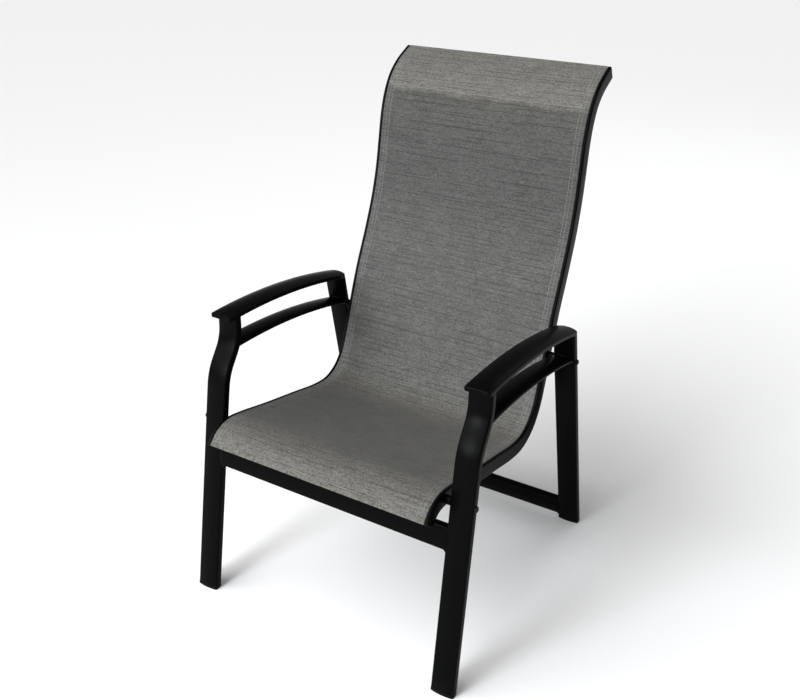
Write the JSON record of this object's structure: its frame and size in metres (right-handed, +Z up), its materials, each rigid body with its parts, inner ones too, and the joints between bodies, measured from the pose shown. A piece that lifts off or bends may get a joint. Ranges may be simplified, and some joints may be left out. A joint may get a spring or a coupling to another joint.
{
  "type": "sling patio chair",
  "caption": "High-back outdoor sling chair: fixed bent-bar frame with arched arms and two bolted S-curved rails that hold a stretched mesh seat and back.",
  "frame": {"origin": "on the floor under the middle of the chair's bounding box", "axes": "+Z up, the chair faces -Y, +X to the sitter's left; node names say left and right as seen from in front, so right is at +X"},
  "size_m": [0.657, 0.8168, 1.0801],
  "materials": {
    "powder_coat": "satin black powder coat on aluminium",
    "sling_mesh": "woven vinyl-coated polyester mesh, mottled grey",
    "black_plastic": "matte moulded plastic",
    "black_steel": "black coated steel screw"
  },
  "bodies": {
    "root": {"arm_rail_left": "powder_coat", "arm_rail_right": "powder_coat", "armrest_left": "powder_coat", "armrest_right": "powder_coat", "front_crossbar": "powder_coat", "front_glide_left": "black_plastic", "front_glide_right": "black_plastic", "front_leg_left": "powder_coat", "front_leg_right": "powder_coat", "front_rail_bolt_left": "black_steel", "front_rail_bolt_right": "black_steel", "front_rail_cap_left": "black_plastic", "front_rail_cap_right": "black_plastic", "front_spacer_left": "powder_coat", "front_spacer_right": "powder_coat", "front_spreader": "powder_coat", "rear_crossbar": "powder_coat", "rear_glide_left": "black_plastic", "rear_glide_right": "black_plastic", "rear_leg_left": "powder_coat", "rear_leg_right": "powder_coat", "rear_rail_bolt_left": "black_steel", "rear_rail_bolt_right": "black_steel", "rear_spacer_left": "powder_coat", "rear_spacer_right": "powder_coat", "rear_spreader": "powder_coat", "sling": "sling_mesh", "sling_rail_left": "powder_coat", "sling_rail_right": "powder_coat", "sling_spline_left": "black_plastic", "sling_spline_right": "black_plastic", "top_rail_cap_left": "black_plastic", "top_rail_cap_right": "black_plastic", "top_spreader": "powder_coat"}
  },
  "joints": []
}
